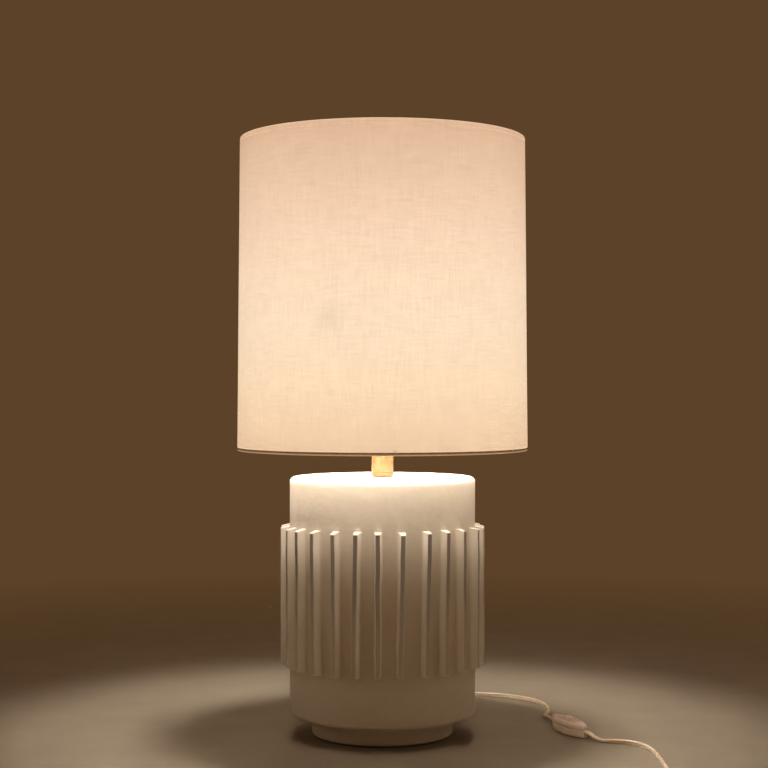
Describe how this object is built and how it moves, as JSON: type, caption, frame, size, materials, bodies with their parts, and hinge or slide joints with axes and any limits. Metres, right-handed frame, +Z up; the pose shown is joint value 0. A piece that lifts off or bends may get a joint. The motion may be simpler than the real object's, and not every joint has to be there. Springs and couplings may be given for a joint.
{
  "type": "table lamp",
  "caption": "Table lamp: ribbed ceramic drum on a small round foot, brass neck, harp and screw socket, tall fabric drum shade, and a cord with an inline rocker switch and plug.",
  "frame": {"origin": "middle of the felt under the foot, on the surface that the lamp stands on", "axes": "+Z up the lamp's axis; the front is -Y, and the cord leaves the foot at +Y and runs round to the right, +X"},
  "size_m": [0.4257, 0.5296, 0.6336],
  "materials": {
    "ceramic": "unglazed matt white, fired in one piece",
    "felt": "black pressed felt",
    "board": "fibreboard cover",
    "brass": "brushed and lacquered",
    "steel": "zinc plated",
    "aluminium": "bright drawn shell",
    "phenolic": "black moulding",
    "card": "insulating card",
    "frosted_glass": "frosted inside, lit",
    "linen": "off-white slubbed linen",
    "styrene": "translucent shade liner",
    "clear_pvc": "clear moulded and extruded, slightly yellowed",
    "tie": "white wrap tie"
  },
  "bodies": {
    "base": {"foot_felt": "felt", "cover_board": "board", "ceramic_body": "ceramic", "floor_washer": "steel", "floor_nut": "steel", "lamp_pipe": "brass", "inner_lead": "clear_pvc", "neck_ring": "brass", "neck_tube": "brass", "check_ring": "brass", "harp_saddle": "steel", "saddle_nut": "steel", "harp": "brass", "harp_crown": "brass", "socket_cap": "brass", "socket_shell": "brass", "socket_liner": "card", "socket_block": "phenolic", "screw_shell": "aluminium", "centre_contact": "brass", "cord_grommet": "clear_pvc", "cord_to_switch": "clear_pvc", "switch_lower_shell": "clear_pvc", "switch_upper_shell": "clear_pvc", "cord_to_coil": "clear_pvc", "cord_coil": "clear_pvc", "cord_tie": "tie", "cord_tail": "clear_pvc", "plug_body": "clear_pvc", "plug_blade_left": "brass", "plug_blade_right": "brass"},
    "left_sleeve": {"harp_sleeve_left": "brass"},
    "right_sleeve": {"harp_sleeve_right": "brass"},
    "bulb_carrier": {"bulb_tip": "steel"},
    "bulb": {"bulb_base": "aluminium", "bulb_glass": "frosted_glass"},
    "shade_washer": {"hub_washer": "brass"},
    "shade": {"spider": "steel", "top_ring": "steel", "bottom_ring": "steel", "shade_liner": "styrene", "shade_fabric": "linen", "top_hem": "linen", "bottom_hem": "linen"},
    "finial_carrier": {"finial_insert": "steel"},
    "finial": {"finial_knob": "brass"},
    "rocker": {"switch_rocker": "clear_pvc"}
  },
  "joints": [
    {"name": "left_sleeve_slide", "type": "slide", "parent": "base", "child": "left_sleeve", "axis": [0, 0, 1], "range_m": [0, 0.012]},
    {"name": "right_sleeve_slide", "type": "slide", "parent": "base", "child": "right_sleeve", "axis": [0, 0, 1], "range_m": [0, 0.012]},
    {"name": "bulb_rise", "type": "slide", "parent": "base", "child": "bulb_carrier", "axis": [0, 0, 1], "range_m": [0, 0.0256]},
    {"name": "bulb_turn", "type": "hinge", "parent": "bulb_carrier", "child": "bulb", "pos_m": [0, 0, 0.3635], "axis": [0, 0, 1], "range_deg": [0, 2520]},
    {"name": "shade_lift", "type": "slide", "parent": "base", "child": "shade_washer", "axis": [0, 0, 1], "range_m": [0, 0.33]},
    {"name": "shade_turn", "type": "hinge", "parent": "shade_washer", "child": "shade", "pos_m": [0, 0, 0.6042], "axis": [0, 0, 1], "continuous": true},
    {"name": "finial_rise", "type": "slide", "parent": "shade_washer", "child": "finial_carrier", "axis": [0, 0, 1], "range_m": [0, 0.0095]},
    {"name": "finial_turn", "type": "hinge", "parent": "finial_carrier", "child": "finial", "pos_m": [0, 0, 0.6153], "axis": [0, 0, 1], "range_deg": [0, 3600]},
    {"name": "rocker_tip", "type": "hinge", "parent": "base", "child": "rocker", "pos_m": [0.197, 0.0046, 0.0118], "axis": [-0.9252, -0.3795, 0], "range_deg": [0, 14]}
  ],
  "couplings": [
    {"joint": "bulb_rise", "follows": "bulb_turn", "m_per_rad": 0.00057757},
    {"joint": "finial_rise", "follows": "finial_turn", "m_per_rad": 0.00014972}
  ]
}
